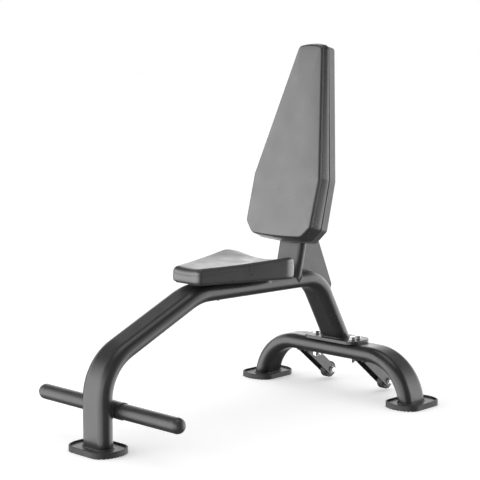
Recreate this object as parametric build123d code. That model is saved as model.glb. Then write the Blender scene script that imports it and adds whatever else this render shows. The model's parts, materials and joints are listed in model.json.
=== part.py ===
from build123d import *
import math
import os

# Upright utility bench: one bent flat-oval main tube, an arched rear tube, a tapered seat,
# a tapered backrest, a footrest bar and two transport wheels.
# Millimetres. X runs across the bench, +Y to the rear, +Z up.
# The origin is on the floor, at the centre of the bench's outline.

# ---------------------------------------------------------------- driving dimensions

# overall
wheelbase = 1020          # front foot centre to rear foot centres
rail_height = 390         # floor to the centreline of the seat rail at the rear bend
foot_spread = 618         # between the two rear foot centres

# main tube, a flat oval bent in the middle plane
tube_width = 100
tube_depth = 50
tube_wall = 3
knee_drop = 150           # seat rail down to the front knee
knee_reach = 365          # front post to the front end of the seat rail
knee_radius = 145
hump_radius = 190
heel_reach = 126          # rear feet line forward to the rear bend
heel_radius = 112
leg_landing = 5           # foot of the rear leg in front of the rear feet line
rail_slope = 1.0          # degrees that the seat rail rises towards the front

# rear arch, the same flat oval with its wide side along Y
arch_height = 168         # floor to the top of the arch
arch_radius = 150
arch_spread = 612         # between the legs, where they land on the feet
arch_lean = 10            # degrees that the legs lean in

# feet: a disc with two flats, a steel plate in a rubber boot
foot_radius = 86
foot_half_width = 61
foot_corner = 40
boot_height = 17
boot_floor = 6
boot_rim = 4
plate_thickness = 6
plate_clearance = 0.3
tread_pitch = 10.5
tread_groove = 4.8
tread_depth = 3

# footrest
footrest_height = 116.6
footrest_setback = 41     # behind the centre of the front post
footrest_length = 600
sleeve_diameter = 50
sleeve_length = 124
bar_diameter = 38
bar_wall = 3
grip_diameter = 45
slip_clearance = 0.1

# flange between the rear leg and the arch
flange_length = 216
flange_depth = 104
flange_thickness = 10
flange_corner = 32
flange_bolt_x = 76.5
flange_bolt_y = 13
m12_hole = 13
m12_diameter = 12
m12_across_flats = 18
m12_head = 8
m12_nut = 10
m12_washer_diameter = 24
washer_thickness = 2

# transport wheels
wheel_radius = 27
wheel_width = 24
wheel_gap = 7             # wheel to floor while the bench stands
wheel_offset = 99         # axle behind the rear foot centres
wheel_spacing = 243.4
tread_thickness = 6
hub_radius = wheel_radius - tread_thickness
axle_diameter = 10
axle_sleeve_diameter = 16
hub_dish = 3              # depth of the dish in both faces of the hub
hub_web = 3.5             # wall round the bore beside the dish
tread_edge = 2.5
running_clearance = 0.06
bracket_inner = 28
bracket_sheet = 4
bracket_width = 34
bracket_slope = 39        # degrees below level
m10_across_flats = 16
m10_head = 6.5
m10_nut = 9
thread_end = 3            # how far a bolt stands past its nut
head_chamfer = 0.8

# back post and gusset
back_tilt = 13.25         # degrees from upright
post_setback = 236        # rear feet line to the foot of the post
post_width = 100
post_depth = 32
post_length = 545
cap_thickness = 4
cap_plug = 18
gusset_thickness = 10
gusset_rise = 280
gusset_reach = 103
gusset_drop = 45
gusset_corner = 8
gusset_skew = 5           # how far the tip's upper corner stands behind its lower corner

# backrest: a plastic shell, a plywood board and a wedge-shaped cushion
back_low = 91             # along the post, from the rail top to the bottom edge
back_length = 622
shell_depth = 31
shell_recess = 6          # depth of the channel that the post lies in
shell_wall = 3
shell_edge = 7
back_low_half = 107       # half width at the bottom corners
back_low_bow = 5          # how far the bottom edge bows down between them
back_wide_low = (142, 45)  # half width and height where the lower corners end
back_wide_high = (144, 200)  # half width and height where the taper starts
back_top_half = 55        # half width at the top corners
back_top_bow = 7          # how far the top edge bows up between them
back_corner = 16
back_edge = 8             # rounding of the cushion's front edges
back_cushion_low = 53     # cushion thickness at the bottom
back_cushion_high = 28    # cushion thickness at the top
board_thickness = 15
board_gap = 1.5
boss_radius = 12
back_bolt_x = 25
back_bolt_heights = (230, 480)

# seat
seat_gap = 101            # foot of the post to the rear edge of the seat
seat_length = 346
seat_front_width = 112
seat_rear_width = 306
seat_front_corner = 10
seat_rear_corner = 34
seat_plate_thickness = 5
seat_thickness = 44       # cushion along its middle
seat_dish_radius = 430
seat_edge = 8             # rounding of the cushion's top edge
seat_board_inset = 9
seat_board_pocket = 11
seat_plate_length = 206
seat_plate_depth = 50
seat_bolt_x = 86
seat_bolt_setback = 82
seat_front_bolt_setback = 212
seat_front_pad = 46
plate_corner = 6

# pad bolts
m8_hole = 9
m8_diameter = 8
m8_across_flats = 13
m8_head = 5.3
tee_flange_radius = 11
tee_flange_thickness = 1.6
tee_barrel_radius = 5
tee_barrel_length = 10

# ---------------------------------------------------------------- derived places

plate_top = boot_floor + plate_thickness
front_reach = foot_half_width
rear_reach = max(foot_radius, wheel_offset + wheel_radius)
outline_depth = front_reach + wheelbase + rear_reach
front_y = front_reach - outline_depth / 2
rear_y = front_y + wheelbase
heel_y = rear_y - heel_reach
rail_angle = math.radians(rail_slope)
arch_bottom = arch_height - tube_depth
arch_middle = arch_height - tube_depth / 2
flange_top = arch_height + flange_thickness
axle_y = rear_y + wheel_offset
axle_z = wheel_radius + wheel_gap
post_y = rear_y - post_setback
leg_run = (heel_reach - leg_landing) / (rail_height - flange_top)
arm_slope = math.radians(bracket_slope)
bracket_outer = bracket_inner / 2 + bracket_sheet
crush_radius = m12_washer_diameter / 4 + m12_hole / 4
rail_top = rail_height + (heel_y - post_y) * math.tan(rail_angle) + tube_depth / 2 / math.cos(rail_angle)

# Seat frame: x across, y to the rear along the rail's top, z up; its origin is the foot of the post.
seat_frame = Pos(0, post_y, rail_top) * Rot(-rail_slope, 0, 0)
seat_rear_y = -seat_gap
seat_front_y = seat_rear_y - seat_length
seat_board_bottom = seat_plate_thickness
seat_board_top = seat_board_bottom + board_thickness
seat_bottom = seat_board_top - seat_board_pocket
seat_bolt_y = seat_rear_y - seat_bolt_setback
seat_front_bolt_y = seat_rear_y - seat_front_bolt_setback
seat_bolt_points = [(-seat_bolt_x, seat_bolt_y), (seat_bolt_x, seat_bolt_y), (0, seat_front_bolt_y)]

# Back frame: x across, y up along the post, z forward from the post's middle plane.
tilt = math.radians(back_tilt)
back_direction = (0, math.sin(tilt), math.cos(tilt))
back_frame = Plane(
    origin=(0, post_y, rail_top),
    x_dir=(1, 0, 0),
    z_dir=(0, -math.cos(tilt), math.sin(tilt)),
)
post_face = post_depth / 2
shell_back = post_face - shell_recess
shell_front = shell_back + shell_depth
back_board_back = shell_front - board_thickness


# ---------------------------------------------------------------- helpers

def rod(radius, length, place):
    """Cylinder of a radius and length that starts at a place and runs along its +Z."""
    return place * Cylinder(radius, length, align=(Align.CENTER, Align.CENTER, Align.MIN))


def tube(radius, bore_radius, length, place):
    """Round tube that starts at a place and runs along its +Z."""
    return rod(radius, length, place) - rod(bore_radius, length, place)


def hexagon(across_flats, height, place):
    """Hexagonal prism that starts at a place and runs along its +Z."""
    sketch = RegularPolygon(across_flats / 2, 6, major_radius=False)
    return place * extrude(sketch, amount=height)


def oval_sweep(path, start, width, depth):
    """Solid flat oval that follows a path, with its section on a start plane."""
    return sweep(start * SlotOverall(width, depth), path=path)


def oval_tube(path, start, width, depth, wall):
    """Hollow flat oval that follows a path, and its solid outer shape."""
    outer = oval_sweep(path, start, width, depth)
    inner = oval_sweep(path, start, width - 2 * wall, depth - 2 * wall)
    return outer - inner, outer


def group(solids):
    """Several separate solids as one node."""
    return Compound(children=[part for shape in solids for part in shape.solids()])


def largest(shape):
    """The biggest solid of a shape, without the slivers that a cut along a curved wall leaves."""
    return shape.solids().sort_by(SortBy.VOLUME)[-1]


def across(x, y, z):
    """Place at a point, with its +Z along +X."""
    return Pos(x, y, z) * Rot(0, 90, 0)


def in_back(x, y, z):
    """Place in the back frame, with its +Z forward."""
    return back_frame.location * Pos(x, y, z)


def foot_outline(radius, half_width, along_y):
    """Disc with two flats and soft corners; its long side lies along Y or along X."""
    outline = Circle(radius) & Rectangle(2 * radius, 2 * half_width)
    outline = fillet(outline.vertices(), foot_corner)
    return Rot(0, 0, 90) * outline if along_y else outline


def washer(outer_diameter, hole_diameter, place):
    return tube(outer_diameter / 2, hole_diameter / 2, washer_thickness, place)


# ---------------------------------------------------------------- feet

def foot_boot(x, y, along_y):
    """Rubber boot with a rim round the plate and grooves across its sole."""
    boot = extrude(foot_outline(foot_radius, foot_half_width, along_y), amount=boot_height)
    boot = fillet(boot.edges().group_by(Axis.Z)[-1], boot_rim * 0.35)
    pocket = foot_outline(foot_radius - boot_rim, foot_half_width - boot_rim, along_y)
    boot -= Pos(0, 0, boot_floor) * extrude(pocket, amount=boot_height)
    rows = int(foot_half_width / tread_pitch)
    for row in range(-rows, rows):
        offset = (row + 0.5) * tread_pitch
        size = (tread_groove, 3 * foot_radius) if along_y else (3 * foot_radius, tread_groove)
        centre = (offset, 0) if along_y else (0, offset)
        boot -= Pos(*centre, 0) * Box(*size, 2 * tread_depth)
    return Pos(x, y, 0) * boot


def foot_plate(x, y, along_y):
    """Steel plate that sits in the boot."""
    inset = boot_rim + plate_clearance
    outline = foot_outline(foot_radius - inset, foot_half_width - inset, along_y)
    return Pos(x, y, boot_floor) * extrude(outline, amount=plate_thickness)


# ---------------------------------------------------------------- frame

def rail_point(y):
    """Point on the centreline of the seat rail."""
    return (0, y, rail_height + (heel_y - y) * math.tan(rail_angle))


def leg_point(drop):
    """Point on the centreline of the rear leg, below the rear bend."""
    return (0, heel_y + leg_run * drop, rail_height - drop)


def main_tube():
    """Front post, slanted neck, seat rail and rear leg in one bent tube."""
    path = FilletPolyline(
        (0, front_y, plate_top),
        (0, front_y, rail_height - knee_drop),
        rail_point(front_y + knee_reach),
        rail_point(heel_y),
        leg_point(rail_height - arch_middle),
        radius=[knee_radius, hump_radius, heel_radius],
    )
    start = Plane(origin=(0, front_y, plate_top), x_dir=(1, 0, 0), z_dir=(0, 0, 1))
    shell, solid = oval_tube(path, start, tube_width, tube_depth, tube_wall)
    trim = Pos(0, rear_y, flange_top) * Box(
        2 * tube_width, 4 * tube_depth, 2 * flange_top, align=(Align.CENTER, Align.CENTER, Align.MAX)
    )
    return shell - trim, solid


def arch_tube():
    """Rear arch from one rear foot to the other, with legs that lean in and are cut level on the feet."""
    lean = math.radians(arch_lean)
    below = tube_depth / 2 * math.tan(lean)
    start_x = -arch_spread / 2 - below * math.tan(lean)
    start_z = plate_top - below
    corner_x = start_x + (arch_middle - start_z) * math.tan(lean)
    path = FilletPolyline(
        (start_x, rear_y, start_z),
        (corner_x, rear_y, arch_middle),
        (-corner_x, rear_y, arch_middle),
        (-start_x, rear_y, start_z),
        radius=arch_radius,
    )
    start = Plane(origin=(start_x, rear_y, start_z), x_dir=(0, 1, 0), z_dir=(math.sin(lean), 0, math.cos(lean)))
    shell, solid = oval_tube(path, start, tube_width, tube_depth, tube_wall)
    ends = Pos(0, rear_y, plate_top) * Box(
        2 * foot_spread, 2 * tube_width, 2 * tube_depth, align=(Align.CENTER, Align.CENTER, Align.MAX)
    )
    return shell - ends, solid - ends


def flange_points():
    """Centres of the bolts that hold the rear leg to the arch."""
    return [(x, rear_y + y) for x in (-flange_bolt_x, flange_bolt_x) for y in (-flange_bolt_y, flange_bolt_y)]


def rear_flange():
    plate = extrude(RectangleRounded(flange_length, flange_depth, flange_corner), amount=flange_thickness)
    plate = Pos(0, rear_y, arch_height) * plate
    plate = chamfer(plate.edges().group_by(Axis.Z)[-1], 1)
    for x, y in flange_points():
        plate -= rod(m12_hole / 2, flange_thickness, Pos(x, y, arch_height))
    return plate


def drill_arch(shape):
    for x, y in flange_points():
        shape -= rod(crush_radius, 2 * tube_depth, Pos(x, y, arch_bottom - tube_depth / 2))
    return shape


def back_post(main_solid):
    """Flat-oval upright that carries the backrest, coped onto the seat rail."""
    root = tube_depth / 2 / math.cos(tilt)
    foot = (0, post_y - root * math.sin(tilt), rail_top - root * math.cos(tilt))
    section = Plane(origin=foot, x_dir=(1, 0, 0), z_dir=back_direction)
    outer = extrude(section * SlotOverall(post_width, post_depth), amount=root + post_length)
    inner = extrude(
        section * SlotOverall(post_width - 2 * tube_wall, post_depth - 2 * tube_wall),
        amount=root + post_length,
    )
    return largest(outer - inner - main_solid), outer


def back_post_cap():
    """Plastic plug that closes the top of the post."""
    top = Plane(
        origin=back_frame.from_local_coords(Vector(0, post_length, 0)), x_dir=(1, 0, 0), z_dir=back_direction
    )
    lid = extrude(SlotOverall(post_width, post_depth), amount=cap_thickness)
    lid = chamfer(lid.edges().group_by(Axis.Z)[-1], cap_thickness * 0.4)
    room = 2 * (tube_wall + plate_clearance)
    plug = extrude(SlotOverall(post_width - room, post_depth - room), amount=-cap_plug)
    return top.location * (lid + plug)


def back_gusset(main_solid, post_solid):
    """Flat web between the back of the post and the rear bend."""
    post_top = back_frame.from_local_coords(Vector(0, gusset_rise, 0))
    web = Polygon(
        (post_y, rail_height),
        (post_top.Y, post_top.Z),
        (heel_y + gusset_reach, rail_height - gusset_drop + gusset_corner),
        (heel_y + gusset_reach - gusset_skew, rail_height - gusset_drop - gusset_corner),
        leg_point(gusset_drop)[1:],
        (heel_y, rail_height),
        align=None,
    )
    tips = web.vertices().sort_by(Axis.X)[-2:]
    web = fillet(tips, gusset_corner * 0.9)
    side = Plane(origin=(-gusset_thickness / 2, 0, 0), x_dir=(0, 1, 0), z_dir=(1, 0, 0))
    return extrude(side * web, amount=gusset_thickness) - main_solid - post_solid


# ---------------------------------------------------------------- footrest

def footrest_place(start):
    return across(start, front_y + footrest_setback, footrest_height)


def footrest_sleeve():
    bore = bar_diameter / 2 + slip_clearance
    sleeve = tube(sleeve_diameter / 2, bore, sleeve_length, footrest_place(-sleeve_length / 2))
    return chamfer(sleeve.edges().filter_by(GeomType.CIRCLE).sort_by(SortBy.RADIUS)[-2:], 1)


def footrest_bar():
    length = footrest_length - grip_diameter - slip_clearance
    radius = bar_diameter / 2
    return tube(radius, radius - bar_wall, length, footrest_place(-length / 2))


def footrest_grip(side):
    """Moulded grip with a closed, domed end."""
    radius = grip_diameter / 2
    start = sleeve_length / 2 + plate_clearance
    straight = footrest_length / 2 - radius - start
    grip = Cylinder(radius, straight, align=(Align.CENTER, Align.CENTER, Align.MIN))
    grip += Pos(0, 0, straight) * Sphere(radius)
    grip -= Cylinder(
        bar_diameter / 2 + slip_clearance, straight, align=(Align.CENTER, Align.CENTER, Align.MIN)
    )
    grip = Pos(start, 0, 0) * Rot(0, 90, 0) * grip
    if side < 0:
        grip = mirror(grip, about=Plane.YZ)
    return Pos(0, front_y + footrest_setback, footrest_height) * grip


# ---------------------------------------------------------------- flange fasteners

def flange_bolts():
    reach = flange_thickness + tube_depth + 2 * washer_thickness + m12_nut + thread_end
    bolts = []
    for x, y in flange_points():
        seat = flange_top + washer_thickness
        head = hexagon(m12_across_flats, m12_head, Pos(x, y, seat))
        head = chamfer(head.faces().sort_by(Axis.Z)[-1].edges(), head_chamfer)
        bolts.append(head + rod(m12_diameter / 2, reach, Pos(x, y, seat - reach)))
    return group(bolts)


def flange_washers():
    heights = (flange_top, arch_bottom - washer_thickness)
    return group([washer(m12_washer_diameter, m12_hole, Pos(x, y, z)) for x, y in flange_points() for z in heights])


def flange_nuts():
    nuts = []
    for x, y in flange_points():
        place = Pos(x, y, arch_bottom - washer_thickness - m12_nut)
        nuts.append(hexagon(m12_across_flats, m12_nut, place) - rod(m12_diameter / 2, m12_nut, place))
    return group(nuts)


def flange_crush_sleeves():
    """Spacer tubes inside the arch that keep it from collapsing under the bolts."""
    return group([tube(crush_radius, m12_hole / 2, tube_depth, Pos(x, y, arch_bottom)) for x, y in flange_points()])


# ---------------------------------------------------------------- transport wheels

def wheel_bracket(side, arch_solid):
    """Sheet channel that hangs the wheel behind the arch, with its web to the front."""
    x = wheel_x(side)
    # Bracket frame: x along the arm up to the arch, y forward and down, z across the bench.
    frame = Plane(
        origin=(x, axle_y, axle_z), x_dir=(0, -math.cos(arm_slope), math.sin(arm_slope)), z_dir=(1, 0, 0)
    )
    reach = (arch_bottom - axle_z) / math.sin(arm_slope) + bracket_width
    arm = Pos(reach / 2, 0) * Rectangle(reach, bracket_width) + Circle(bracket_width / 2)
    body = extrude(arm, amount=bracket_outer, both=True)
    web_end = math.sqrt(wheel_radius ** 2 - (bracket_width / 2 - bracket_sheet) ** 2) + bracket_sheet
    front = -bracket_width / 2
    middle = Pos(reach / 2, bracket_sheet, 0) * Box(2 * reach, bracket_width, bracket_inner)
    opening = Pos(web_end - 2 * reach, front, 0) * Box(
        2 * reach, 2 * bracket_sheet, bracket_inner, align=(Align.MIN, Align.CENTER, Align.CENTER)
    )
    body = body - middle - opening
    body -= Cylinder(axle_diameter / 2 + slip_clearance, 4 * bracket_outer)
    body = frame.location * body
    above = Pos(x, rear_y, arch_middle) * Box(
        4 * bracket_outer, 4 * tube_width, 2 * tube_depth, align=(Align.CENTER, Align.CENTER, Align.MIN)
    )
    return largest(body - arch_solid - above)


def wheel_x(side):
    return side * wheel_spacing / 2


def wheel_place(side, offset):
    return across(wheel_x(side) + offset, axle_y, axle_z)


def wheel_tread(side):
    tread = tube(wheel_radius, hub_radius, wheel_width, wheel_place(side, -wheel_width / 2))
    return fillet(tread.edges().filter_by(GeomType.CIRCLE).sort_by(SortBy.RADIUS)[-2:], tread_edge)


def wheel_hub(side):
    """Moulded hub with a raised boss and a shallow dish on both faces."""
    bore = axle_sleeve_diameter / 2 + running_clearance
    hub = tube(hub_radius, bore, wheel_width, wheel_place(side, -wheel_width / 2))
    for start in (-wheel_width / 2, wheel_width / 2 - hub_dish):
        hub -= tube(hub_radius - hub_dish, bore + hub_web, hub_dish, wheel_place(side, start))
    return hub


def wheel_sleeve(side):
    """Steel spacer that the hub turns on, clamped between the bracket's cheeks."""
    place = wheel_place(side, -bracket_inner / 2)
    return tube(axle_sleeve_diameter / 2, axle_diameter / 2 + slip_clearance, bracket_inner, place)


def wheel_bolt(side):
    seat = bracket_outer + washer_thickness
    start = -seat - m10_nut - thread_end
    shank = rod(axle_diameter / 2, seat - start, wheel_place(side, start))
    head = hexagon(m10_across_flats, m10_head, wheel_place(side, seat))
    head = chamfer(head.faces().sort_by(Axis.X)[-1].edges(), head_chamfer)
    return head + shank


def wheel_washers(side):
    hole = axle_diameter + 2 * slip_clearance
    starts = (-bracket_outer - washer_thickness, bracket_outer)
    return group([washer(2 * axle_diameter, hole, wheel_place(side, start)) for start in starts])


def wheel_nut(side):
    start = -bracket_outer - washer_thickness - m10_nut
    place = wheel_place(side, start)
    return hexagon(m10_across_flats, m10_nut, place) - rod(axle_diameter / 2, m10_nut, place)


# ---------------------------------------------------------------- backrest

def back_outline(inset):
    """Tapered backrest outline in the back frame, with bowed top and bottom edges."""
    top = back_low + back_length
    corners = [(back_low_half, back_low_bow), back_wide_low, back_wide_high, (back_top_half, back_length - back_top_bow)]
    right = [(x, back_low + y) for x, y in corners]
    left = [(-x, y) for x, y in reversed(right)]
    outline = Polyline(*right)
    outline += ThreePointArc(right[-1], (0, top), left[0])
    outline += Polyline(*left)
    outline += ThreePointArc(left[-1], (0, back_low), right[0])
    face = make_face(outline)
    face = fillet(face.vertices(), back_corner)
    if inset > 0:
        face = offset(face, -inset)
    return face


def back_bolt_points():
    return [(x, y) for y in back_bolt_heights for x in (-back_bolt_x, back_bolt_x)]


def post_channel(margin):
    """Space that the post takes up in the back of the shell, widened by a margin."""
    width = post_width + 2 * plate_clearance + 2 * margin
    top = post_length + cap_thickness + 2 * plate_clearance + margin
    corner = Align.CENTER, Align.MAX, Align.CENTER
    return Pos(0, top, 0) * Box(width, back_length, 2 * (shell_recess + margin), align=corner)


def back_shell():
    """Moulded tray behind the board, with a channel for the post and a boss at each bolt."""
    shell = extrude(back_outline(0), amount=shell_depth)
    shell = fillet(shell.faces().sort_by(Axis.Z)[0].edges(), shell_edge)
    hollow = Pos(0, 0, shell_wall) * extrude(back_outline(shell_wall), amount=shell_depth)
    shell = shell - (hollow - post_channel(shell_wall)) - post_channel(0)
    boss_height = shell_depth - board_thickness - shell_recess
    for x, y in back_bolt_points():
        shell += rod(boss_radius, boss_height, Pos(x, y, shell_recess))
        shell -= rod(m8_hole / 2, shell_depth, Pos(x, y, 0))
    return in_back(0, 0, shell_back) * shell


def back_board():
    board = extrude(back_outline(shell_wall + board_gap), amount=board_thickness)
    board = back_frame.location * Pos(0, 0, back_board_back) * board
    for x, y in back_bolt_points():
        board -= rod(tee_barrel_radius, board_thickness, in_back(x, y, back_board_back))
        board -= rod(tee_flange_radius, tee_flange_thickness, in_back(x, y, shell_front - tee_flange_thickness))
    return board


def back_cushion():
    """Wedge-shaped foam cushion, thicker at the bottom."""
    block = extrude(back_outline(0), amount=back_cushion_low)
    lean = math.degrees(math.atan((back_cushion_low - back_cushion_high) / back_length))
    waste = Pos(0, back_low, back_cushion_low) * Rot(-lean, 0, 0) * Box(
        4 * tube_width, 4 * back_length, 2 * back_cushion_low, align=(Align.CENTER, Align.CENTER, Align.MIN)
    )
    cushion = block - waste
    cushion = fillet(cushion.faces().sort_by(Axis.Z)[-1].edges(), back_edge)
    return in_back(0, 0, shell_front) * cushion


def tee_nut(place):
    """Tee nut whose flange sits at a place, with its barrel along -Z."""
    flange = rod(tee_flange_radius, tee_flange_thickness, place * Pos(0, 0, -tee_flange_thickness))
    barrel = rod(tee_barrel_radius, tee_barrel_length, place * Pos(0, 0, -tee_barrel_length))
    return flange + barrel - rod(m8_diameter / 2, tee_barrel_length, place * Pos(0, 0, -tee_barrel_length))


def pad_bolt(place, reach):
    """Hexagon bolt whose shank runs along +Z from a place, with its head below."""
    head = hexagon(m8_across_flats, m8_head, place * Pos(0, 0, -m8_head))
    return head + rod(m8_diameter / 2, reach, place)


def back_tee_nuts():
    return group([tee_nut(in_back(x, y, shell_front)) for x, y in back_bolt_points()])


def back_bolts():
    start = -post_face - washer_thickness
    reach = shell_front - start - thread_end
    return group([pad_bolt(in_back(x, y, start), reach) for x, y in back_bolt_points()])


def back_washers():
    start = -post_face - washer_thickness
    return group([washer(2 * m8_diameter, m8_hole, in_back(x, y, start)) for x, y in back_bolt_points()])


def drill_post(shape):
    for x, y in back_bolt_points():
        shape -= rod(m8_hole / 2, 2 * post_depth, in_back(x, y, -post_depth))
    return shape


# ---------------------------------------------------------------- seat

def seat_outline(inset):
    """Tapered seat outline, wide at the rear, with large rear corners."""
    front = seat_front_width / 2
    rear = seat_rear_width / 2
    face = Polygon(
        (-front, seat_front_y), (front, seat_front_y), (rear, seat_rear_y), (-rear, seat_rear_y), align=None
    )
    face = fillet(face.vertices().group_by(Axis.Y)[0], seat_front_corner)
    face = fillet(face.vertices().group_by(Axis.Y)[-1].sort_by(Axis.X), seat_rear_corner)
    if inset > 0:
        face = offset(face, -inset)
    return face


def seat_block(inset, bottom, height):
    return Pos(0, 0, bottom) * extrude(seat_outline(inset), amount=height)


def seat_cushion():
    """Foam cushion, dished across, with a pocket for the board."""
    centre = (0, (seat_front_y + seat_rear_y) / 2, seat_bottom + seat_thickness + seat_dish_radius)
    dish = Pos(*centre) * Rot(90, 0, 0) * Cylinder(seat_dish_radius, 2 * seat_length)
    cushion = seat_block(0, seat_bottom, 2 * seat_thickness) - dish
    top = cushion.faces().filter_by(GeomType.CYLINDER).sort_by(SortBy.AREA)[-1]
    cushion = fillet(top.edges(), seat_edge)
    pocket = seat_block(seat_board_inset - board_gap / 2, seat_bottom, seat_board_pocket + plate_clearance)
    return seat_frame * (cushion - pocket)


def seat_board():
    board = seat_block(seat_board_inset, seat_board_bottom, board_thickness)
    for x, y in seat_bolt_points:
        board -= rod(tee_barrel_radius, board_thickness, Pos(x, y, seat_board_bottom))
        board -= rod(tee_flange_radius, tee_flange_thickness, Pos(x, y, seat_board_top - tee_flange_thickness))
    return seat_frame * board


def seat_rear_plate():
    """Steel strip welded across the rail under the rear of the seat."""
    plate = extrude(RectangleRounded(seat_plate_length, seat_plate_depth, plate_corner), amount=seat_plate_thickness)
    for x in (-seat_bolt_x, seat_bolt_x):
        plate -= rod(m8_hole / 2, seat_plate_thickness, Pos(x, 0, 0))
    return seat_frame * Pos(0, seat_bolt_y, 0) * plate


def seat_front_plate():
    """Small steel pad welded on the rail under the front of the seat."""
    plate = extrude(RectangleRounded(seat_front_pad, seat_front_pad, plate_corner), amount=seat_plate_thickness)
    plate -= rod(m8_hole / 2, seat_plate_thickness, Pos(0, 0, 0))
    return seat_frame * Pos(0, seat_front_bolt_y, 0) * plate


def seat_tee_nuts():
    return group([tee_nut(seat_frame * Pos(x, y, seat_board_top)) for x, y in seat_bolt_points])


def seat_bolt_seats():
    """Where each seat bolt's washer starts: under the rear plate or under the rail."""
    seats = []
    for x, y in seat_bolt_points:
        surface = -tube_depth if x == 0 else 0
        seats.append((x, y, surface - washer_thickness))
    return seats


def seat_bolts():
    bolts = []
    for x, y, z in seat_bolt_seats():
        bolts.append(pad_bolt(seat_frame * Pos(x, y, z), seat_board_top - thread_end - z))
    return group(bolts)


def seat_washers():
    return group([washer(2 * m8_diameter, m8_hole, seat_frame * Pos(*seat)) for seat in seat_bolt_seats()])


def drill_rail(shape):
    return shape - rod(m8_hole / 2, 2 * tube_depth, seat_frame * Pos(0, seat_front_bolt_y, -1.5 * tube_depth))


# ---------------------------------------------------------------- assembly

main_shell, main_solid = main_tube()
arch_shell, arch_solid = arch_tube()
post_shell, post_solid = back_post(main_solid)
footrest_saddle = rod(sleeve_diameter / 2, 2 * tube_width, footrest_place(-tube_width))

nodes = {
    "main_tube": drill_rail(main_shell - footrest_saddle),
    "rear_arch_tube": drill_arch(arch_shell),
    "rear_leg_flange": rear_flange(),
    "back_post": drill_post(post_shell),
    "back_post_cap": back_post_cap(),
    "back_gusset": back_gusset(main_solid, post_solid),
    "footrest_sleeve": footrest_sleeve(),
    "footrest_bar": footrest_bar(),
    "footrest_grip_left": footrest_grip(-1),
    "footrest_grip_right": footrest_grip(1),
    "flange_bolts": flange_bolts(),
    "flange_washers": flange_washers(),
    "flange_nuts": flange_nuts(),
    "flange_crush_sleeves": flange_crush_sleeves(),
    "back_shell": back_shell(),
    "back_board": back_board(),
    "back_cushion": back_cushion(),
    "back_tee_nuts": back_tee_nuts(),
    "back_bolts": back_bolts(),
    "back_washers": back_washers(),
    "seat_rear_plate": seat_rear_plate(),
    "seat_front_plate": seat_front_plate(),
    "seat_board": seat_board(),
    "seat_cushion": seat_cushion(),
    "seat_tee_nuts": seat_tee_nuts(),
    "seat_bolts": seat_bolts(),
    "seat_washers": seat_washers(),
}

feet = {
    "front": (0, front_y, False),
    "rear_left": (-foot_spread / 2, rear_y, True),
    "rear_right": (foot_spread / 2, rear_y, True),
}
for name, spot in feet.items():
    nodes[f"foot_plate_{name}"] = foot_plate(*spot)
    nodes[f"foot_boot_{name}"] = foot_boot(*spot)

for name, side in {"left": -1, "right": 1}.items():
    nodes[f"wheel_bracket_{name}"] = wheel_bracket(side, arch_solid)
    nodes[f"wheel_tread_{name}"] = wheel_tread(side)
    nodes[f"wheel_hub_{name}"] = wheel_hub(side)
    nodes[f"wheel_sleeve_{name}"] = wheel_sleeve(side)
    nodes[f"wheel_bolt_{name}"] = wheel_bolt(side)
    nodes[f"wheel_washers_{name}"] = wheel_washers(side)
    nodes[f"wheel_nut_{name}"] = wheel_nut(side)

os.makedirs("parts", exist_ok=True)
for name, shape in nodes.items():
    export_step(shape, f"parts/{name}.step")
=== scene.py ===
import json
import math

import bmesh
import bpy
import numpy as np
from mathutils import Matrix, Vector
from mathutils.bvhtree import BVHTree


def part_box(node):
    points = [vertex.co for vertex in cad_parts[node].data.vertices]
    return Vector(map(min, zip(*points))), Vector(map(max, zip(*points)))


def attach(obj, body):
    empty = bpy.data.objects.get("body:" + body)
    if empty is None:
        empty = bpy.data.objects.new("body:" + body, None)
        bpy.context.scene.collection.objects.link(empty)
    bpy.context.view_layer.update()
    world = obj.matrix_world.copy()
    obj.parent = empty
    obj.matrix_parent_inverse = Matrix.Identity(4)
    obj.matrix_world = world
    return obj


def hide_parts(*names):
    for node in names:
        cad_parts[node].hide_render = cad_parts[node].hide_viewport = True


# Looks of the upright utility bench. Metres, in the frame of the CAD model: X across the bench,
# +Y to the rear, +Z up. Every place is worked out from the CAD nodes.

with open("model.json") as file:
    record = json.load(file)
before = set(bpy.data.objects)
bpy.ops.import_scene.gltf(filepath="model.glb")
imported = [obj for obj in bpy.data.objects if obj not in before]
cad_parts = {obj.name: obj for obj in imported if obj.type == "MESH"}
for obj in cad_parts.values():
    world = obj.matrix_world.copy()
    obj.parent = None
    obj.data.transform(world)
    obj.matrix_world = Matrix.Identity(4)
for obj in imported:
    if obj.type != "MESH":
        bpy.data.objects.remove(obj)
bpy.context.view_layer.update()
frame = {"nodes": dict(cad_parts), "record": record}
nodes = frame["nodes"]

# ---------------------------------------------------------------- driving values

BACK_TILT = math.radians(13.25)   # back post from upright
RAIL_SLOPE = math.radians(1.0)    # seat rail, front end up


# ---------------------------------------------------------------- material helpers

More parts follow.
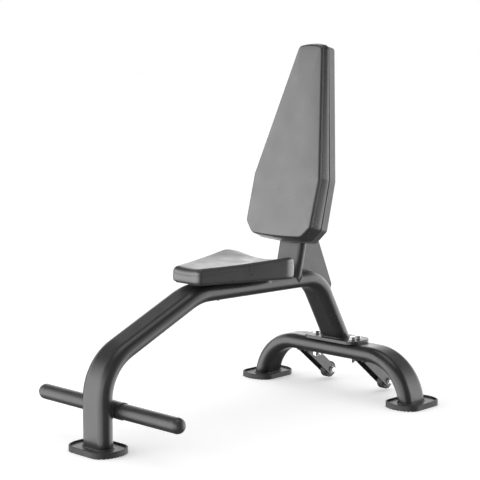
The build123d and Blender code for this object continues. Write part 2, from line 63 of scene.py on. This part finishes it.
class Graph:
    """Short calls for the nodes of one material."""

    def __init__(self, name):
        self.material = bpy.data.materials.new(name)
        self.material.use_nodes = True
        self.tree = self.material.node_tree
        self.shader = self.tree.nodes["Principled BSDF"]
        self.place = self.tree.nodes.new("ShaderNodeTexCoord").outputs["Object"]

    def node(self, kind, **sockets):
        made = self.tree.nodes.new(kind)
        for key, value in sockets.items():
            self.put(made.inputs[key.replace("_", " ")], value)
        return made

    def put(self, socket, value):
        if isinstance(value, bpy.types.NodeSocket):
            self.tree.links.new(value, socket)
        else:
            socket.default_value = value

    def stretched(self, scale):
        """Object coordinates scaled by three factors."""
        mapping = self.node("ShaderNodeMapping")
        self.put(mapping.inputs["Vector"], self.place)
        mapping.inputs["Scale"].default_value = scale
        return mapping.outputs["Vector"]

    def noise(self, scale, detail=3.0, roughness=0.55, distortion=0.0, vector=None):
        made = self.node(
            "ShaderNodeTexNoise", Scale=scale, Detail=detail, Roughness=roughness, Distortion=distortion
        )
        self.put(made.inputs["Vector"], vector or self.place)
        return made.outputs["Fac"]

    def cells(self, scale, feature="F1"):
        made = self.tree.nodes.new("ShaderNodeTexVoronoi")
        made.feature = feature
        self.put(made.inputs["Vector"], self.place)
        self.put(made.inputs["Scale"], scale)
        return made.outputs["Distance"]

    def remap(self, value, low, high, to_low, to_high):
        made = self.node("ShaderNodeMapRange", Value=value)
        for key, number in (("From Min", low), ("From Max", high), ("To Min", to_low), ("To Max", to_high)):
            made.inputs[key].default_value = number
        return made.outputs["Result"]

    def math(self, operation, first, second=0.0):
        made = self.tree.nodes.new("ShaderNodeMath")
        made.operation = operation
        self.put(made.inputs[0], first)
        self.put(made.inputs[1], second)
        return made.outputs[0]

    def mix(self, factor, first, second):
        made = self.tree.nodes.new("ShaderNodeMix")
        made.data_type = "RGBA"
        self.put(made.inputs[0], factor)
        self.put(made.inputs[6], first)
        self.put(made.inputs[7], second)
        return made.outputs[2]

    def bump(self, height, distance, strength=1.0, below=None):
        made = self.node("ShaderNodeBump", Strength=strength, Distance=distance)
        self.put(made.inputs["Height"], height)
        if below:
            self.put(made.inputs["Normal"], below)
        return made.outputs["Normal"]

    def set(self, **values):
        for key, value in values.items():
            self.put(self.shader.inputs[key.replace("_", " ")], value)
        return self.material


def grey(level, warm=0.0):
    return (level * (1 + warm), level, level * (1 - warm), 1.0)


PAINT_GLOSS = 1.9         # index of refraction


def paint(name, level, roughness):
    """Satin powder coat: soft orange peel, faint clouding and fine speckle."""
    g = Graph(name)
    clouds = g.noise(9, 4, 0.6)
    speckle = g.noise(900, 2)
    colour = g.mix(clouds, grey(level * 0.86), grey(level * 1.14))
    colour = g.mix(g.remap(speckle, 0.45, 0.75, 0, 0.4), colour, grey(level * 1.7))
    peel = g.bump(g.noise(420, 2, 0.5), 0.00022, 0.35)
    peel = g.bump(g.noise(1500, 1, 0.5), 0.00008, 0.3, peel)
    rough = g.remap(g.noise(30, 4), 0.3, 0.7, roughness - 0.04, roughness + 0.05)
    return g.set(Base_Color=colour, Roughness=rough, IOR=PAINT_GLOSS, Normal=peel)


def rubber(name, level, roughness, gloss=1.6):
    """Rubber with a fine skin and a little dust."""
    g = Graph(name)
    colour = g.mix(g.noise(60, 5, 0.7), grey(level * 0.8), grey(level * 1.25))
    dust = g.remap(g.noise(14, 5, 0.7), 0.52, 0.75, 0, 0.25)
    colour = g.mix(dust, colour, grey(level * 2.2, 0.03))
    skin = g.bump(g.noise(1300, 3, 0.6), 0.0002, 0.4)
    rough = g.remap(g.noise(90, 3), 0.3, 0.7, roughness - 0.06, roughness + 0.08)
    return g.set(Base_Color=colour, Roughness=rough, Normal=skin, IOR=gloss)


def moulded(name, level, roughness, gloss=1.6):
    """Moulded plastic with a fine leather-like stipple."""
    g = Graph(name)
    colour = g.mix(g.noise(25, 4), grey(level * 0.92), grey(level * 1.08))
    stipple = g.cells(1500)
    skin = g.bump(g.remap(stipple, 0.0, 0.6, 0, 1), 0.0001, 0.35)
    rough = g.remap(g.noise(40, 3), 0.3, 0.7, roughness - 0.05, roughness + 0.06)
    return g.set(Base_Color=colour, Roughness=rough, Normal=skin, IOR=gloss)


def vinyl(name, level, roughness, gloss):
    """Upholstery vinyl: pebble grain with painted shade in its valleys, soft creases and slight sheen
    changes.
    """
    g = Graph(name)
    warp = g.noise(160, 2)
    pebbles = g.cells(780, "DISTANCE_TO_EDGE")
    colour = g.mix(g.noise(12, 4, 0.6), grey(level * 0.93), grey(level * 1.07))
    # painted shade: the colour darkens along the pebble edges, which are the low valleys of the grain bump
    # below
    colour = g.mix(g.remap(pebbles, 0.0, 0.12, 0.25, 0.0), colour, grey(level * 0.55))
    grain = g.bump(g.remap(pebbles, 0.0, 0.22, 0, 1), 0.00016, 0.25)
    grain = g.bump(warp, 0.0005, 0.12, grain)
    rough = g.remap(g.noise(18, 4), 0.3, 0.7, roughness - 0.05, roughness + 0.07)
    return g.set(Base_Color=colour, Roughness=rough, Normal=grain, IOR=gloss)


def plated(name, level, roughness):
    """Bright zinc plating with fine drawn lines."""
    g = Graph(name)
    lines = g.noise(300, 3, 0.6, 0, g.stretched((1, 1, 9)))
    colour = g.mix(g.noise(80, 3), grey(level * 0.9, 0.01), grey(level * 1.05, -0.01))
    rough = g.remap(lines, 0.3, 0.7, roughness - 0.06, roughness + 0.08)
    return g.set(Base_Color=colour, Roughness=rough, Metallic=1.0, Normal=g.bump(lines, 0.0001, 0.2))


def sealed_plywood(name, level):
    """Plywood sealed in black: plies and grain still read through the finish."""
    g = Graph(name)
    grain = g.noise(40, 6, 0.6, 0.6, g.stretched((12, 1.2, 1.2)))
    plies = g.tree.nodes.new("ShaderNodeTexWave")
    plies.bands_direction = "Z"
    g.put(plies.inputs["Vector"], g.place)
    plies.inputs["Scale"].default_value = 130
    plies.inputs["Distortion"].default_value = 0.5
    colour = g.mix(grain, grey(level * 0.7, 0.04), grey(level * 1.3, 0.06))
    colour = g.mix(g.remap(plies.outputs["Fac"], 0.2, 0.8, 0, 0.45), colour, grey(level * 0.45, 0.05))
    rough = g.remap(grain, 0.3, 0.7, 0.5, 0.7)
    return g.set(Base_Color=colour, Roughness=rough, Normal=g.bump(grain, 0.0004, 0.4))


# grey level, roughness and, where it differs from the usual, index of refraction
MATERIALS = {
    "frame_paint": paint("frame_paint", 0.022, 0.31),
    "foot_steel": paint("foot_steel", 0.042, 0.40),
    "weld_paint": paint("weld_paint", 0.024, 0.30),
    "foot_rubber": rubber("foot_rubber", 0.030, 0.50),
    "grip_rubber": rubber("grip_rubber", 0.030, 0.36, 1.9),
    "wheel_rubber": rubber("wheel_rubber", 0.028, 0.5),
    "hub_plastic": moulded("hub_plastic", 0.04, 0.4),
    "black_plastic": moulded("black_plastic", 0.02, 0.45),
    "shell_plastic": moulded("shell_plastic", 0.078, 0.36, 1.9),
    "upholstery": vinyl("upholstery", 0.033, 0.31, 2.3),
    "thread": rubber("thread", 0.045, 0.45),
    "board_paint": sealed_plywood("board_paint", 0.06),
    "bright_steel": plated("bright_steel", 0.93, 0.30),
    "bare_steel": plated("bare_steel", 0.5, 0.35),
}

for entry in frame["record"]["subparts"]:
    node = nodes[entry["node"]]
    node.data.materials.clear()
    node.data.materials.append(MATERIALS[entry["material_slot"]])

# ---------------------------------------------------------------- places taken from the CAD nodes

def corners(node):
    return np.array([v.co for v in nodes[node].data.vertices])


class Place:
    """A frame with three directions whose origin lies on the low sides of a CAD node."""

    def __init__(self, node, across, up, forward):
        self.across, self.up, self.forward = (np.array(d) for d in (across, up, forward))
        points = corners(node)
        self.up_low, self.up_high = (points @ self.up).min(), (points @ self.up).max()
        self.forward_low, self.forward_high = (points @ self.forward).min(), (points @ self.forward).max()

    def world(self, x, y, z):
        """Points from across, up and forward distances."""
        x, y, z = np.broadcast_arrays(x, self.up_low + np.asarray(y), self.forward_low + np.asarray(z))
        return x[..., None] * self.across + y[..., None] * self.up + z[..., None] * self.forward


# ---------------------------------------------------------------- mesh helpers

def make_piece(name, points, faces, slot):
    """A smooth closed piece on the fixed frame."""
    mesh = bpy.data.meshes.new(name)
    mesh.from_pydata([tuple(p) for p in points], [], faces)
    mesh.validate()
    mesh.materials.append(MATERIALS[slot])
    made = bpy.data.objects.new(name, mesh)
    bpy.context.scene.collection.objects.link(made)
    shell = bmesh.new()
    shell.from_mesh(mesh)
    bmesh.ops.remove_doubles(shell, verts=shell.verts, dist=1e-6)
    bmesh.ops.recalc_face_normals(shell, faces=shell.faces)
    shell.to_mesh(mesh)
    shell.free()
    mesh.polygons.foreach_set("use_smooth", [True] * len(mesh.polygons))
    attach(made, "frame")
    return made


def bridge(rings, count):
    """Quads between consecutive closed rings of count points."""
    faces = []
    for ring in range(rings - 1):
        for k in range(count):
            following = (k + 1) % count
            faces.append((ring * count + k, ring * count + following,
                          (ring + 1) * count + following, (ring + 1) * count + k))
    return faces


CORNER_STEPS = 16


def rounded_outline(corner_list, count):
    """Closed outline through corners (x, y, radius), as evenly spaced points with outward normals."""
    points = []
    total = len(corner_list)
    for i, (x, y, radius) in enumerate(corner_list):
        here = np.array((x, y))
        before = np.array(corner_list[i - 1][:2]) - here
        after = np.array(corner_list[(i + 1) % total][:2]) - here
        before, after = before / np.linalg.norm(before), after / np.linalg.norm(after)
        turn = math.pi - math.acos(np.clip(before @ after, -1, 1))
        reach = radius * math.tan(turn / 2)
        bisector = (before + after) / np.linalg.norm(before + after)
        centre = here + bisector * radius / math.cos(turn / 2)
        start = here + before * reach - centre
        first = math.atan2(start[1], start[0])
        sign = math.copysign(1, before[0] * after[1] - before[1] * after[0]) * -1
        for step in np.linspace(0, turn, CORNER_STEPS):
            angle = first + sign * step
            points.append(centre + radius * np.array((math.cos(angle), math.sin(angle))))
    points = np.array(points + [points[0]])
    run = np.concatenate([[0], np.cumsum(np.linalg.norm(np.diff(points, axis=0), axis=1))])
    even = np.linspace(0, run[-1], count, endpoint=False)
    line = np.stack([np.interp(even, run, points[:, k]) for k in (0, 1)], axis=-1)
    along = np.roll(line, -1, axis=0) - np.roll(line, 1, axis=0)
    along /= np.linalg.norm(along, axis=1)[:, None]
    return line, np.stack([along[:, 1], -along[:, 0]], axis=-1)


def mirrored_corners(right):
    """The left half of an outline from its right half."""
    return [(-x, y, radius) for x, y, radius in reversed(right)]


def ripple(x, y, z, size):
    """Soft, repeatable unevenness between -1 and 1."""
    first = np.sin(x / size * 1.7 + 3.1 * np.sin(z / size))
    second = np.sin(y / size * 1.3 + 2.3 * np.sin(x / size))
    third = np.sin(z / size * 2.1 + 1.9 * np.sin(y / size))
    return (first + second + third) / 3


BASE_ROWS = 8
EDGE_ROWS = 9
CAP_ROWS = 26


def cushion(name, place, outline, side_rows, edge, slope, top, base_inset):
    """Upholstered pad: a closed shell with a tucked base, seamed sides, a rounded edge and a shaped top.
    side_rows are (share of the side's height, outward bulge); top(x, y, share) is the height of the
    pad, with share 1 at the edge and 0 in the middle."""
    line, normal = outline
    count = len(line)
    middle = line.mean(axis=0)
    rings = []

    def ring(flat, height):
        rings.append(place.world(flat[:, 0], flat[:, 1], height))

    for share in np.linspace(0.02, 1, BASE_ROWS):
        ring(middle + (line - normal * base_inset - middle) * share, np.zeros(count))
    height = top(line[:, 0], line[:, 1], 1.0) - edge
    for share, bulge in side_rows:
        ring(line + normal * (bulge - slope * share), height * share)
    for angle in np.linspace(0, math.pi / 2, EDGE_ROWS)[1:]:
        flat = line - normal * (slope + edge * (1 - math.cos(angle)))
        ring(flat, top(flat[:, 0], flat[:, 1], 1.0) - edge * (1 - math.sin(angle)))
    inner = line - normal * (slope + edge)
    for share in np.linspace(1, 0.01, CAP_ROWS)[1:]:
        flat = middle + (inner - middle) * share
        ring(flat, top(flat[:, 0], flat[:, 1], share))
    points = np.concatenate(rings)
    faces = bridge(len(rings), count)
    faces.append(tuple(range(count))[::-1])
    faces.append(tuple(range(len(points) - count, len(points))))
    return make_piece(name, points, faces, "upholstery")


def tube_along(path, radius, sides, closed=False, swell=None):
    """Points and faces of a round bead along a path; swell gives a factor on the radius at each point."""
    path = np.asarray(path, float)
    count = len(path)
    if closed:
        along = np.roll(path, -1, axis=0) - np.roll(path, 1, axis=0)
    else:
        along = np.gradient(path, axis=0)
    along /= np.linalg.norm(along, axis=1)[:, None] + 1e-12
    side = np.cross(along[0], (0.31, 0.77, 0.55))
    points = []
    for k in range(count):
        side = side - along[k] * (side @ along[k])
        side = side / np.linalg.norm(side)
        other = np.cross(along[k], side)
        size = radius * (swell[k] if swell is not None else 1.0)
        for step in range(sides):
            angle = 2 * math.pi * step / sides
            points.append(path[k] + size * (math.cos(angle) * side + math.sin(angle) * other))
    faces = bridge(count, sides)
    if closed:
        last = (count - 1) * sides
        shifts = [sum(np.linalg.norm(np.array(points[last + (k + s) % sides]) - np.array(points[k]))
                      for k in range(sides)) for s in range(sides)]
        shift = int(np.argmin(shifts))
        for k in range(sides):
            a, b = last + (k + shift) % sides, last + (k + 1 + shift) % sides
            faces.append((a, b, (k + 1) % sides, k))
    else:
        faces.append(tuple(range(sides))[::-1])
        faces.append(tuple(range((count - 1) * sides, count * sides)))
    return points, faces


def even_path(path, spacing, closed=False):
    """A path resampled at even spacing, with any further columns carried along."""
    path = np.asarray(path, float)
    if closed:
        path = np.vstack([path, path[:1]])
    run = np.concatenate([[0], np.cumsum(np.linalg.norm(np.diff(path[:, :3], axis=0), axis=1))])
    steps = max(3, int(run[-1] / spacing))
    even = np.linspace(0, run[-1], steps, endpoint=not closed)
    return np.stack([np.interp(even, run, path[:, k]) for k in range(path.shape[1])], axis=-1)


def joined(parts):
    """One list of points and faces from several."""
    points, faces = [], []
    for some_points, some_faces in parts:
        start = len(points)
        points.extend(some_points)
        faces.extend([tuple(start + k for k in face) for face in some_faces])
    return points, faces


# ---------------------------------------------------------------- welds

WELD_RADIUS = 0.0032
WELD_PITCH = 0.0034
WELD_REACH = 0.0006       # how near an edge lies to the other node to count as touching
WELD_SHARP = math.radians(25)
WELD_CUT = 0.004          # longest piece of an edge that is tested by itself
WELD_RIPPLE = (1.0, 1.14, 1.18, 1.08)
WELD_TAPER = 6            # points over which an open bead thins out at each end


def contact_chains(first, second):
    """Lines where the sharp edges of one node lie on another node, longest first."""
    shell = bmesh.new()
    shell.from_mesh(nodes[first].data)
    bmesh.ops.remove_doubles(shell, verts=shell.verts, dist=2e-5)
    other = bmesh.new()
    other.from_mesh(nodes[second].data)
    tree = BVHTree.FromBMesh(other)
    links = {}
    for edge in shell.edges:
        if len(edge.link_faces) == 2 and edge.calc_face_angle(0) < WELD_SHARP:
            continue
        ends = [np.array(v.co) for v in edge.verts]
        pieces = max(1, int(np.linalg.norm(ends[1] - ends[0]) / WELD_CUT))
        cuts = [ends[0] + (ends[1] - ends[0]) * k / pieces for k in range(pieces + 1)]
        for a, b in zip(cuts, cuts[1:]):
            hit = tree.find_nearest(Vector((a + b) / 2), WELD_REACH)
            if hit[0] is None:
                continue
            key_a, key_b = (tuple(np.round(p, 5)) for p in (a, b))
            links.setdefault(key_a, []).append(key_b)
            links.setdefault(key_b, []).append(key_a)
    shell.free()
    other.free()
    chains = []
    while links:
        ends = [k for k, v in links.items() if len(v) == 1]
        here = min(ends) if ends else min(links)
        chain = [here]
        while links.get(here):
            following = links[here].pop()
            links[following].remove(here)
            if not links[here]:
                del links[here]
            chain.append(following)
            here = following
        if here in links and not links[here]:
            del links[here]
        chains.append(np.array(chain))
    chains.sort(key=lambda c: -np.linalg.norm(np.diff(c, axis=0), axis=1).sum())
    return chains


def weld(name, first, second, keep):
    """Rippled weld beads where one node meets another, along the longest lines of contact."""
    beads = []
    for chain in contact_chains(first, second)[:keep]:
        if len(chain) < 3:
            continue
        closed = np.linalg.norm(chain[0] - chain[-1]) < WELD_CUT
        path = even_path(chain[:-1] if closed else chain, WELD_PITCH / len(WELD_RIPPLE), closed)
        phase = np.arange(len(path)) % len(WELD_RIPPLE)
        swell = np.array(WELD_RIPPLE)[phase]
        if not closed:
            ends = np.minimum(np.arange(len(path)), np.arange(len(path))[::-1])
            swell = swell * np.clip((ends + 1) / WELD_TAPER, 0.25, 1)
        beads.append(tube_along(path, WELD_RADIUS, 8, closed, swell))
    if beads:
        make_piece(name, *joined(beads), "weld_paint")


# ---------------------------------------------------------------- stitching

STITCH_PITCH = 0.0058
STITCH_STEPS = 6          # points on the path for each stitch and the gap after it
THREAD_RADIUS = 0.00032
THREAD_RISE = 0.001 * np.array([-0.25, 0.3, 0.42, 0.3, -0.25])[:, None]


def stitches(name, path, normals):
    """A closed row of short threads that dip into a surface at both ends."""
    both = even_path(np.hstack([path, normals]), STITCH_PITCH / STITCH_STEPS, True)
    line, lift = both[:, :3], both[:, 3:]
    threads = []
    for start in range(0, len(line) - STITCH_STEPS, STITCH_STEPS):
        span = slice(start, start + len(THREAD_RISE))
        threads.append(tube_along(line[span] + lift[span] * THREAD_RISE, THREAD_RADIUS, 5))
    make_piece(name, *joined(threads), "thread")


# ---------------------------------------------------------------- backrest cushion

sine, cosine = math.sin(BACK_TILT), math.cos(BACK_TILT)
back = Place("back_cushion", (1, 0, 0), (0, sine, cosine), (0, -cosine, sine))
BACK_LENGTH = back.up_high - back.up_low
BACK_TOP = BACK_LENGTH + 0.004   # the cover stands a little above the shell
BACK_LOW_THICKNESS = back.forward_high - back.forward_low
BACK_HIGH_THICKNESS = 0.028
BACK_EDGE = 0.0075
BACK_SLOPE = 0.008        # how far the sides lean in from the shell to the front
BACK_CROWN = 0.0028
BACK_LOW_HALF = 0.107
BACK_LOW_BOW = 0.005
BACK_TOP_HALF = 0.055
BACK_TOP_BOW = 0.007
BACK_POINTS = 420
BOW_STEPS = 8
BOW_SMOOTH = 0.5          # corner rounding as a share of the arc's own radius


def bow(half, rise, inner, middle, side):
    """Corners along a shallow arc between two outer corners, out to inner; side is 1 above, -1 below."""
    radius = (half ** 2 + rise ** 2) / (2 * rise)
    across = np.linspace(-inner, inner, BOW_STEPS) * -side
    sag = radius - np.sqrt(radius ** 2 - across ** 2)
    return [(x, middle - side * drop, BOW_SMOOTH * radius) for x, drop in zip(across, sag)]


# corners of the right half from the bottom up: half width, height, radius
back_corners = [
    (BACK_LOW_HALF, BACK_LOW_BOW, 0.030), (0.142, 0.045, 0.028), (0.144, 0.200, 0.028),
    (BACK_TOP_HALF, BACK_TOP - BACK_TOP_BOW, 0.023),
]
back_outline = rounded_outline(
    bow(BACK_LOW_HALF, BACK_LOW_BOW, 0.080, 0, -1) + back_corners
    + bow(BACK_TOP_HALF, BACK_TOP_BOW, 0.030, BACK_TOP, 1) + mirrored_corners(back_corners),
    BACK_POINTS,
)


def back_top(x, y, share):
    taper = BACK_LOW_THICKNESS + (BACK_HIGH_THICKNESS - BACK_LOW_THICKNESS) * np.asarray(y) / BACK_LENGTH
    dents = 0.00035 * ripple(np.asarray(x), np.asarray(y), 0 * np.asarray(x), 0.045)
    return taper - BACK_CROWN * share ** 5 + dents * (1 - share ** 8)


BACK_SIDE = [(0.0, -0.0028), (0.05, -0.0010), (0.14, 0.0), (0.45, 0.0003), (0.80, 0.0002), (0.86, 0.0001),
             (0.885, -0.0003), (0.91, 0.0001), (0.96, 0.0)]
back_pad = cushion(
    "back_pad", back, back_outline, BACK_SIDE, BACK_EDGE, BACK_SLOPE, back_top, base_inset=0.0030
)
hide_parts("back_cushion")


STITCH_HEIGHT = 0.945     # share of the side's height
STITCH_OUT = 0.0004


def side_row(place, outline, top, edge, slope):
    """Points and outward normals of the stitched line round the side of a pad."""
    line, normal = outline
    height = (top(line[:, 0], line[:, 1], 1.0) - edge) * STITCH_HEIGHT
    flat = line + normal * (STITCH_OUT - slope * STITCH_HEIGHT)
    points = place.world(flat[:, 0], flat[:, 1], height)
    outer = place.world(flat[:, 0] + normal[:, 0], flat[:, 1] + normal[:, 1], height)
    return points, outer - points


stitches("back_stitching", *side_row(back, back_outline, back_top, BACK_EDGE, BACK_SLOPE))

# ---------------------------------------------------------------- seat cushion

sine, cosine = math.sin(RAIL_SLOPE), math.cos(RAIL_SLOPE)
seat = Place("seat_cushion", (1, 0, 0), (0, cosine, -sine), (0, sine, cosine))
SEAT_LENGTH = seat.up_high - seat.up_low
SEAT_THICKNESS = 0.044
SEAT_DISH_RADIUS = 0.430
SEAT_FRONT_HALF = 0.0565
SEAT_REAR_HALF = 0.156
SEAT_EDGE = 0.017
SEAT_SLOPE = 0.0
SEAT_CROWN = 0.0016
SEAT_FRONT_MIDDLE = (0, -0.0005, 0.5)   # a slight bow of the front edge
SEAT_POINTS = 400

seat_corners = [(SEAT_FRONT_HALF, 0, 0.016), (SEAT_REAR_HALF, SEAT_LENGTH, 0.050)]
seat_outline = rounded_outline(
    [SEAT_FRONT_MIDDLE] + seat_corners + mirrored_corners(seat_corners), SEAT_POINTS
)


def seat_top(x, y, share):
    x = np.asarray(x)
    dish = SEAT_DISH_RADIUS - np.sqrt(SEAT_DISH_RADIUS ** 2 - x ** 2)
    dents = 0.0004 * ripple(x, np.asarray(y), 0 * x, 0.04)
    return SEAT_THICKNESS + dish - SEAT_CROWN * share ** 6 + dents * (1 - share ** 8)


SEAT_SIDE = [(0.0, -0.0030), (0.06, -0.0008), (0.16, 0.0004), (0.5, 0.0012), (0.78, 0.0006),
             (0.845, 0.0002), (0.875, -0.0004), (0.905, 0.0002), (0.96, 0.0)]
seat_pad = cushion(
    "seat_pad", seat, seat_outline, SEAT_SIDE, SEAT_EDGE, SEAT_SLOPE, seat_top, base_inset=0.0034
)
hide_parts("seat_cushion")
stitches("seat_stitching", *side_row(seat, seat_outline, seat_top, SEAT_EDGE, SEAT_SLOPE))

# ---------------------------------------------------------------- welds of the frame

# the two nodes and how many beads to keep
WELDS = (
    ("main_tube", "rear_leg_flange", 1), ("main_tube", "foot_plate_front", 1),
    ("back_post", "main_tube", 1), ("back_gusset", "back_post", 2),
    ("back_gusset", "main_tube", 2), ("main_tube", "footrest_sleeve", 2),
    ("rear_arch_tube", "foot_plate_rear_left", 1), ("rear_arch_tube", "foot_plate_rear_right", 1),
    ("wheel_bracket_left", "rear_arch_tube", 2), ("wheel_bracket_right", "rear_arch_tube", 2),
    ("seat_rear_plate", "main_tube", 2), ("seat_front_plate", "main_tube", 2),
)
for node, other, keep in WELDS:
    weld(f"weld_{node}_{other}", node, other, keep)

# ---------------------------------------------------------------- floor, light and camera

FLOOR_SIZE = 80
FLOOR_GLOW = 0.30         # lifts the floor to the white of the background

bpy.ops.mesh.primitive_plane_add(size=FLOOR_SIZE)
floor = bpy.context.object
floor.name = "floor"
floor_graph = Graph("floor")
floor_tone = floor_graph.mix(floor_graph.noise(3, 2), grey(0.94), grey(0.96))
floor.data.materials.append(floor_graph.set(Base_Color=floor_tone, Roughness=0.9))
floor_graph.shader.inputs["Specular IOR Level"].default_value = 0.1
floor_graph.shader.inputs["Emission Color"].default_value = (1, 1, 1, 1)
floor_graph.shader.inputs["Emission Strength"].default_value = FLOOR_GLOW
floor.visible_glossy = False


def softbox(name, place, target, width, height, power):
    """Large soft lamp that lights surfaces but isn't mirrored in them."""
    lamp = bpy.data.lights.new(name, "AREA")
    lamp.shape = "RECTANGLE"
    lamp.size = width
    lamp.size_y = height
    lamp.energy = power
    box = bpy.data.objects.new(name, lamp)
    bpy.context.scene.collection.objects.link(box)
    box.location = place
    box.rotation_euler = (Vector(target) - Vector(place)).to_track_quat("-Z", "Y").to_euler()
    box.visible_glossy = False


softbox("front_left", (-3.0, -4.0, 1.6), (0, 0, 0.5), 3.0, 2.4, 45)
softbox("top", (0.2, 0.3, 4.0), (0, 0, 0.4), 4.0, 4.0, 18)


class Studio:
    """World shader: plain white to the eye and on matt surfaces, bright and dark panels in reflections."""

    def __init__(self):
        self.world = bpy.data.worlds.new("studio")
        self.world.use_nodes = True
        self.tree = self.world.node_tree
        self.back = self.tree.nodes["Background"]
        direction = self.tree.nodes.new("ShaderNodeTexCoord").outputs["Generated"]
        split = self.tree.nodes.new("ShaderNodeSeparateXYZ")
        self.tree.links.new(direction, split.inputs[0])
        self.x, self.y, self.z = split.outputs

    def math(self, operation, first, second=0.0):
        made = self.tree.nodes.new("ShaderNodeMath")
        made.operation = operation
        for socket, value in zip(made.inputs, (first, second)):
            if isinstance(value, bpy.types.NodeSocket):
                self.tree.links.new(value, socket)
            else:
                socket.default_value = value
        return made.outputs[0]

    def smooth(self, value, start, end, low, high):
        made = self.tree.nodes.new("ShaderNodeMapRange")
        made.interpolation_type = "SMOOTHSTEP"
        self.tree.links.new(value, made.inputs["Value"])
        for key, number in (("From Min", start), ("From Max", end), ("To Min", low), ("To Max", high)):
            made.inputs[key].default_value = number
        return made.outputs["Result"]

    def sector(self, bearing, near, far):
        """1 within an angle of a bearing, 0 beyond a wider angle, all in degrees."""
        turn = math.radians(bearing)
        towards = self.math("ADD", self.math("MULTIPLY", self.x, math.cos(turn)),
                            self.math("MULTIPLY", self.y, math.sin(turn)))
        return self.smooth(towards, math.cos(math.radians(far)), math.cos(math.radians(near)), 0.0, 1.0)

    def faded(self, dark, share):
        """A factor of 1 outside a dark area and 1 - share inside it."""
        return self.math("SUBTRACT", 1.0, self.math("MULTIPLY", dark, share))

    def finish(self, mirrored, soft):
        """Reflections see the panels, matt surfaces a soft fall-off, and the eye plain white."""
        rays = self.tree.nodes.new("ShaderNodeLightPath").outputs
        strength = self.math("ADD", rays["Is Camera Ray"], self.math(
            "ADD", self.math("MULTIPLY", rays["Is Glossy Ray"], mirrored),
            self.math("MULTIPLY", rays["Is Diffuse Ray"], soft)))
        self.tree.links.new(strength, self.back.inputs["Strength"])
        self.back.inputs["Color"].default_value = (1, 1, 1, 1)
        bpy.context.scene.world = self.world


KEY_PANEL = (226, 30, 50)     # bearing, and the angles from it where the panel starts to fade and ends
REAR_PANEL = (75, 30, 50)
FAR_PANEL = (136, 18, 34)
DARK_RIGHT = (-12, 36, 56)
DARK_LEFT = (176, 10, 24)
SHADE_RIGHT = (-12, 30, 75)
WALL_LEVEL = 1.25
WALL_FADE = (17, 40)          # degrees above or below the horizon
OVERHEAD_FADE = (62, 80)
OVERHEAD_LEVEL = 0.8
DIMMEST = 0.08


def heights(degrees):
    return [math.sin(math.radians(angle)) for angle in degrees]


studio = Studio()
steep = studio.math("ABSOLUTE", studio.z)
band = studio.smooth(steep, *heights(WALL_FADE), 1.0, 0.0)
key_panel = studio.sector(*KEY_PANEL)
level = WALL_LEVEL
for panel, strength in (
    (key_panel, 0.65), (studio.sector(*REAR_PANEL), 0.5), (studio.sector(*FAR_PANEL), 0.8),
):
    level = studio.math("ADD", level, studio.math("MULTIPLY", panel, strength))
for dark in (DARK_RIGHT, DARK_LEFT):
    level = studio.math("MULTIPLY", level, studio.faded(studio.sector(*dark), 0.94))
overhead = studio.smooth(studio.z, *heights(OVERHEAD_FADE), 0.0, OVERHEAD_LEVEL)
mirrored = studio.math("ADD", studio.math("MULTIPLY", level, band), studio.math("ADD", overhead, DIMMEST))
soft = studio.math("ADD", 0.8, studio.math("MULTIPLY", key_panel, 0.9))
soft = studio.math("MULTIPLY", soft, studio.faded(studio.sector(*SHADE_RIGHT), 0.75))
studio.finish(mirrored, soft)

CAMERA_BEARING = math.radians(44.1)
CAMERA_DROP = math.radians(7.7)
CAMERA_RIGHT = 2.9978
CAMERA_BACK = 2.5276      # from the front foot, away from the bench
CAMERA_HEIGHT = 1.120
CAMERA_LENS = 108.4
SENSOR_WIDTH = 36

foot_low, foot_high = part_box("foot_plate_front")
front_foot = (foot_low + foot_high) / 2
camera = bpy.data.cameras.new("camera")
camera.lens = CAMERA_LENS
camera.sensor_width = SENSOR_WIDTH
viewer = bpy.data.objects.new("camera", camera)
bpy.context.scene.collection.objects.link(viewer)
viewer.location = (CAMERA_RIGHT, front_foot.y - CAMERA_BACK, CAMERA_HEIGHT)
viewer.rotation_euler = (math.pi / 2 - CAMERA_DROP, 0, CAMERA_BEARING)
bpy.context.scene.camera = viewer
bpy.context.scene.view_settings.view_transform = "Standard"
